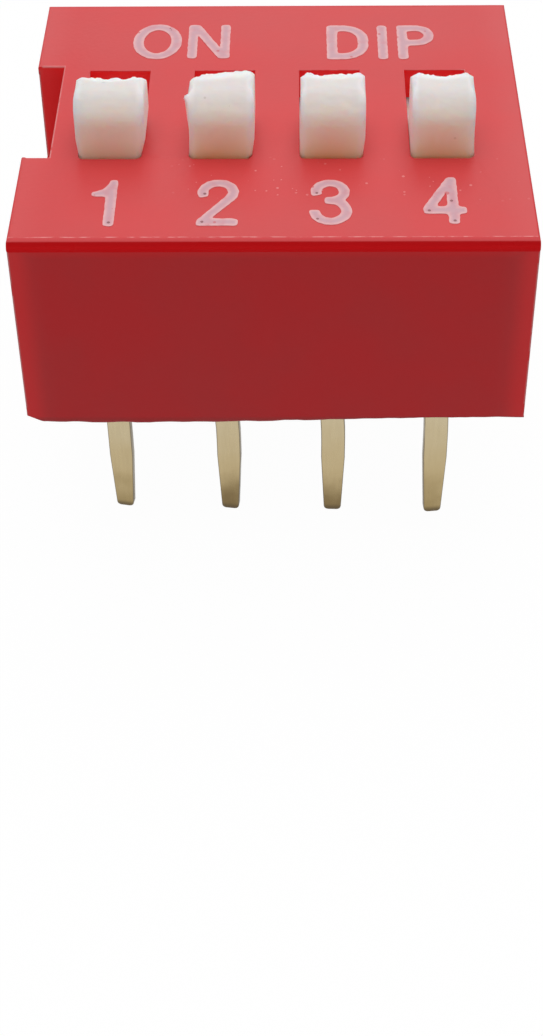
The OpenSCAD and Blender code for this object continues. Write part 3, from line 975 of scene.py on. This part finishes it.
def make_seal():
    """Cast seal whose face waves a little and climbs the walls round it."""
    bm = closed_copy("epoxy_seal")
    for axis, facing in ((0, ALONG_X), (1, ALONG_Y)):
        places = steps_between(SEAL_LOW[axis], SEAL_HIGH[axis], SEAL_CELL)
        for inset in SEAL_CLIMB_CUTS:
            places += [SEAL_LOW[axis] + inset, SEAL_HIGH[axis] - inset]
        for place in places:
            cut(bm, bm.faces[:], facing * place, facing)
    split_large_faces(bm)
    for vert in bm.verts:
        if abs(vert.co.z - SEAL_FACE_Z) > TOUCH:
            continue
        off_wall = min(SEAL_HIGH.x - abs(vert.co.x), SEAL_HIGH.y - abs(vert.co.y))
        climb = SEAL_CLIMB * (1 + 0.5 * bump_at(vert.co, SEAL_WAVE_SPACING, 1))
        vert.co.z -= climb * math.exp(-off_wall / SEAL_CLIMB_REACH)
        vert.co.z += SEAL_WAVE * bump_at(vert.co, SEAL_WAVE_SPACING)
    add_piece(bm, "seal_casting", (GREY_EPOXY,), "housing", "epoxy_seal")


def arc(centre, radii, start, end):
    """Points along part of an ellipse, with its angles in degrees."""
    turn = math.radians(end - start)
    count = max(2, round(abs(turn) / ARC_STEP))
    angles = [math.radians(start) + turn * step / count for step in range(count + 1)]
    return [
        (centre[0] + radii[0] * math.cos(angle), centre[1] + radii[1] * math.sin(angle))
        for angle in angles
    ]


def ring(centre, radii):
    """Points round a whole ellipse."""
    return arc(centre, radii, 0, 360)[:-1]


def draw_o(w, h, t):
    """Letter O: its outer and inner outlines."""
    middle = (w / 2, h / 2)
    return [ring(middle, middle), ring(middle, (w / 2 - t, h / 2 - t))]


def draw_n(w, h, t):
    """Letter N: two stems and the diagonal between them."""
    foot = w - 1.15 * t
    drop = h * t / foot
    return [[(0, 0), (t, 0), (t, h - drop), (foot, 0), (w, 0), (w, h),
             (w - t, h), (w - t, drop), (w - foot, h), (0, h)]]


def draw_d(w, h, t):
    """Letter D: a stem with a round bow."""
    r = 0.62 * w
    low = (w - r, r)
    high = (w - r, h - r)
    bow = arc(low, (r, r), -90, 0) + arc(high, (r, r), 0, 90)
    inner = arc(low, (r - t, r - t), -90, 0) + arc(high, (r - t, r - t), 0, 90)
    return [[(0, 0)] + bow + [(0, h)], [(t, t)] + inner + [(t, h - t)]]


def draw_i(w, h, t):
    """Letter I: one stem."""
    return [[(0, 0), (w, 0), (w, h), (0, h)]]


def draw_p(w, h, t):
    """Letter P: a stem with a bowl at its top."""
    waist = 0.4 * h
    r = (h - waist) / 2
    middle = (w - r, waist + r)
    bowl = arc(middle, (r, r), -90, 90)
    inner = arc(middle, (r - t, r - t), -90, 90)
    return [[(0, 0), (t, 0), (t, waist)] + bowl + [(0, h)], [(t, waist + t)] + inner + [(t, h - t)]]


def draw_1(w, h, t):
    """Figure 1: a stem with a flag that curves out of its top."""
    flag = 0.64 * h
    sweep = arc((0, h), (w - 0.75 * t, 0.26 * h), 0, -90)
    return [[(w - t, 0), (w, 0), (w, h)] + sweep + [(0, flag), (w - t, flag)]]


def draw_2(w, h, t):
    """Figure 2: a hook that runs down into a straight foot."""
    r = w / 2
    middle = (r, h - r)
    hook = arc(middle, (r, r), -38, 207)
    inner = arc(middle, (r - t, r - t), 214, -42)
    return [[(0, 0), (w, 0), (w, t), (0.35 * w, 1.1 * t)] + hook + inner + [(0, 0.7 * t)]]


def draw_3(w, h, t):
    """Figure 3: two bowls that meet at a short bar."""
    low_r = 0.53 * (h + t) / 2
    high_r = 0.47 * (h + t) / 2
    low = (w / 2, low_r)
    high = (w / 2, h - high_r)
    wide = (w / 2, low_r)
    narrow = (0.46 * w, high_r)
    bar = 0.36 * w
    outer = arc(low, wide, -185, 48) + arc(high, narrow, -42, 203)
    upper = arc(high, (narrow[0] - t, narrow[1] - t), 207, -80)
    lower = arc(low, (wide[0] - t, wide[1] - t), 80, -187)
    return [outer + upper + [(bar, 2 * low_r), (bar, 2 * low_r - t)] + lower]


def draw_4(w, h, t):
    """Figure 4: a stem crossed by a bar, with a slope from the bar to the top."""
    stem = w - 1.77 * t
    bar = 0.215 * h
    outside = [(stem, 0), (stem + t, 0), (stem + t, bar), (w, bar), (w, bar + t), (stem + t, bar + t),
               (stem + t, h), (stem + 0.15 * t, h), (0, bar + 0.9 * t), (0, bar), (stem, bar)]
    inside = [(stem, bar + 1.1 * t), (stem, 0.68 * h), (0.29 * w, bar + 1.1 * t)]
    return [outside, inside]


# Each mark's drawing, left edge, lower edge, width and height, in millimetres
STROKE = {draw_o: 0.26, draw_n: 0.235, draw_d: 0.26, draw_i: 0.24, draw_p: 0.25}
FIGURE_STROKE = 0.24
MARKS = {
    "print_on": [(draw_o, -3.54, 2.3, 1.21, 1.58), (draw_n, -2.175, 2.33, 1.04, 1.52)],
    "print_dip": [
        (draw_d, 1.26, 2.27, 1.03, 1.53),
        (draw_i, 2.52, 2.27, 0.24, 1.52),
        (draw_p, 3.01, 2.27, 0.92, 1.52),
    ],
    "print_1": [(draw_1, -4.07, -4.31, 0.57, 1.68)],
    "print_2": [(draw_2, -1.7, -4.3, 0.93, 1.67)],
    "print_3": [(draw_3, 0.79, -4.28, 0.95, 1.64)],
    "print_4": [(draw_4, 3.31, -4.25, 0.97, 1.69)],
}
# Place and radius of each pit in the ink, in millimetres
PITS = {
    "print_on": [(-2.65, 3.69, 0.02), (-2.62, 3.62, 0.018)],
    "print_dip": [],
    "print_1": [(-3.613, -4.181, 0.036)],
    "print_2": [(-1.535, -3.15, 0.036), (-1.562, -4.165, 0.036)],
    "print_3": [(0.965, -3.13, 0.032), (0.974, -4.065, 0.032)],
    "print_4": [(3.949, -3.425, 0.036), (3.44, -3.776, 0.036), (3.984, -4.137, 0.036)],
}


def lay_outline(bm, outline, left, lower):
    """Closed line of one outline on the top face, cut into short edges for the wobble of its ink."""
    verts = [
        bm.verts.new(((left + x) * MM, (lower + y) * MM, TOP_Z - PRINT_SUNK)) for x, y in outline
    ]
    edges = [bm.edges.new((verts[i - 1], verts[i])) for i in range(len(verts))]
    for edge in edges:
        count = int(edge.calc_length() / PRINT_STEP)
        if count:
            bmesh.ops.subdivide_edges(bm, edges=[edge], cuts=count)


def shade_ink(bm):
    """Cuts the strokes along their middle and marks how near each place is to their rims."""
    ink_rim = bm.verts.layers.float.new("ink_rim")
    rim = [vert.co.copy() for vert in bm.verts]
    across = [edge for edge in bm.edges if len(edge.link_faces) == 2]
    bmesh.ops.subdivide_edges(bm, edges=across, cuts=1)
    for vert in bm.verts:
        off_rim = min((vert.co - place).length for place in rim)
        vert[ink_rim] = max(0, 1 - off_rim / PRINT_RIM)


def add_pit(bm, place, radius):
    """A small dark spot let into the ink, a hair proud of it."""
    made = bmesh.ops.create_cone(
        bm,
        cap_ends=True,
        segments=PIT_SIDES,
        radius1=radius,
        radius2=radius,
        depth=PIT_DEPTH,
        matrix=Matrix.Translation(place),
    )
    for face in {face for vert in made["verts"] for face in vert.link_faces}:
        face.material_index = 1


def make_print(name, marks):
    """Marks of ink on the top face, a little proud of it."""
    bm = bmesh.new()
    for draw, left, lower, width, height in marks:
        for outline in draw(width, height, STROKE.get(draw, FIGURE_STROKE)):
            lay_outline(bm, outline, left, lower)
    for _ in range(PRINT_SOFT_PASSES):
        bmesh.ops.smooth_vert(bm, verts=bm.verts[:], factor=0.5, use_axis_x=True, use_axis_y=True)
    for vert in bm.verts:
        shift = noise.noise_vector(vert.co / PRINT_WOBBLE_SPACING) * PRINT_WOBBLE
        vert.co += Vector((shift.x, shift.y, 0))
    bmesh.ops.triangle_fill(bm, edges=bm.edges[:], use_beauty=True, use_dissolve=False)
    shade_ink(bm)
    raised = bmesh.ops.extrude_face_region(bm, geom=bm.faces[:])["geom"]
    lifted = [item for item in raised if isinstance(item, bmesh.types.BMVert)]
    bmesh.ops.translate(bm, verts=lifted, vec=Vector((0, 0, PRINT_PROUD + PRINT_SUNK)))
    bmesh.ops.recalc_face_normals(bm, faces=bm.faces[:])
    for x, y, radius in PITS[name]:
        add_pit(bm, Vector((x * MM, y * MM, TOP_Z + PRINT_PROUD)), radius * MM)
    add_piece(bm, name, (PALE_PRINT, INK_PIT), "housing")


def seen_share(tree):
    """Output that is 1 for rays that show the background, and 0 for rays that only light the object."""
    path = add_node(tree, "ShaderNodeLightPath").outputs
    mirrored = maths(tree, "MAXIMUM", path["Is Glossy Ray"], path["Is Transmission Ray"])
    return maths(tree, "MAXIMUM", path["Is Camera Ray"], mirrored)


def make_floor():
    """Pale floor that stays white to the eye, keeps a faint shadow and is clear from below."""
    bm = bmesh.new()
    bmesh.ops.create_grid(bm, x_segments=1, y_segments=1, size=FLOOR_SIZE / 2)
    bmesh.ops.translate(bm, verts=bm.verts[:], vec=Vector((0, 0, PIN_TIP_Z)))
    mesh = bpy.data.meshes.new("floor")
    bm.to_mesh(mesh)
    bm.free()
    floor = bpy.data.objects.new("floor", mesh)
    bpy.context.scene.collection.objects.link(floor)
    material = bpy.data.materials.new("pale_floor")
    material.use_nodes = True
    tree = material.node_tree
    tree.nodes.clear()
    seen = seen_share(tree)
    tone = blend_colours(tree, seen, FLOOR_GREY, FLOOR_WHITE)
    matt = add_node(tree, "ShaderNodeBsdfDiffuse", {"Color": tone}).outputs[0]
    white = add_node(tree, "ShaderNodeEmission", {"Color": FLOOR_WHITE, "Strength": 1.0}).outputs[0]
    share = product(tree, seen, FLOOR_GLOW)
    mixed = add_node(tree, "ShaderNodeMixShader", {0: share, 1: matt, 2: white}).outputs[0]
    behind = add_node(tree, "ShaderNodeNewGeometry").outputs["Backfacing"]
    clear = add_node(tree, "ShaderNodeBsdfTransparent").outputs[0]
    mixed = add_node(tree, "ShaderNodeMixShader", {0: behind, 1: mixed, 2: clear}).outputs[0]
    add_node(tree, "ShaderNodeOutputMaterial", {"Surface": mixed})
    mesh.materials.append(material)


def make_world():
    """Even soft light, white near the horizon where it is seen and dimmer overhead."""
    world = bpy.data.worlds.new("soft_room")
    bpy.context.scene.world = world
    world.use_nodes = True
    tree = world.node_tree
    tree.nodes.clear()
    way = add_node(tree, "ShaderNodeTexCoord").outputs["Generated"]
    height = axes_of(tree, way)["Z"]
    low = spread(tree, height, 0.15, 0.4, 1.0, 0.0)
    seen = seen_share(tree)
    white = product(tree, low, seen)
    dim = spread(tree, seen, 0.0, 1.0, CEILING_LIGHT, CEILING_SEEN)
    strength = maths(tree, "MAXIMUM", white, dim)
    glow = add_node(tree, "ShaderNodeBackground", {"Color": (1, 1, 1, 1), "Strength": strength})
    add_node(tree, "ShaderNodeOutputWorld", {"Surface": glow.outputs[0]})


def way_to(azimuth, elevation):
    """Way from the object at an azimuth, which is 0 in front of it, and an elevation, in radians."""
    level = math.cos(elevation)
    return Vector((math.sin(azimuth) * level, -math.cos(azimuth) * level, math.sin(elevation)))


def make_lamp(name, azimuth, elevation, distance, size, power):
    """Square softbox that faces the object."""
    way = way_to(math.radians(azimuth), math.radians(elevation))
    data = bpy.data.lights.new(name, "AREA")
    data.shape = "SQUARE"
    data.size = size * MM
    data.energy = power
    lamp = bpy.data.objects.new(name, data)
    lamp.location = way * distance * MM
    lamp.rotation_mode = "QUATERNION"
    lamp.rotation_quaternion = (-way).to_track_quat("-Z", "Y")
    bpy.context.scene.collection.objects.link(lamp)


def make_camera():
    """Camera above the front of the switch."""
    back = way_to(CAMERA_AZIMUTH, CAMERA_ELEVATION)
    level = Vector((math.cos(CAMERA_AZIMUTH), math.sin(CAMERA_AZIMUTH), 0))
    upright = back.cross(level)
    right = math.cos(CAMERA_ROLL) * level + math.sin(CAMERA_ROLL) * upright
    up = math.cos(CAMERA_ROLL) * upright - math.sin(CAMERA_ROLL) * level
    place = CAMERA_AIM + CAMERA_OFFSET.x * right + CAMERA_OFFSET.y * up + CAMERA_DISTANCE * back
    data = bpy.data.cameras.new("camera")
    data.lens = CAMERA_LENS
    data.shift_y = CAMERA_SHIFT_Y
    data.clip_start = 1 * MM
    data.clip_end = 2 * FLOOR_SIZE
    camera = bpy.data.objects.new("camera", data)
    camera.matrix_world = Matrix.Translation(place) @ Matrix((right, up, back)).transposed().to_4x4()
    bpy.context.scene.collection.objects.link(camera)
    bpy.context.scene.camera = camera


noise.seed_set(NOISE_SEED)
make_cover()
make_base()
make_seal()
for number in POSITIONS:
    make_slider(number)
    make_pin_strip("front", number, FRONT_LEAN[number])
    make_pin_strip("rear", number, REAR_LEAN[number])
    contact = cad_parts[f"contact_{number}"]
    contact.data.materials.clear()
    contact.data.materials.append(CONTACT_GOLD)
for name, marks in MARKS.items():
    make_print(name, marks)

make_floor()
make_world()
for name, values in LAMPS.items():
    make_lamp(name, *values)
make_camera()
bpy.context.scene.view_settings.view_transform = "Standard"
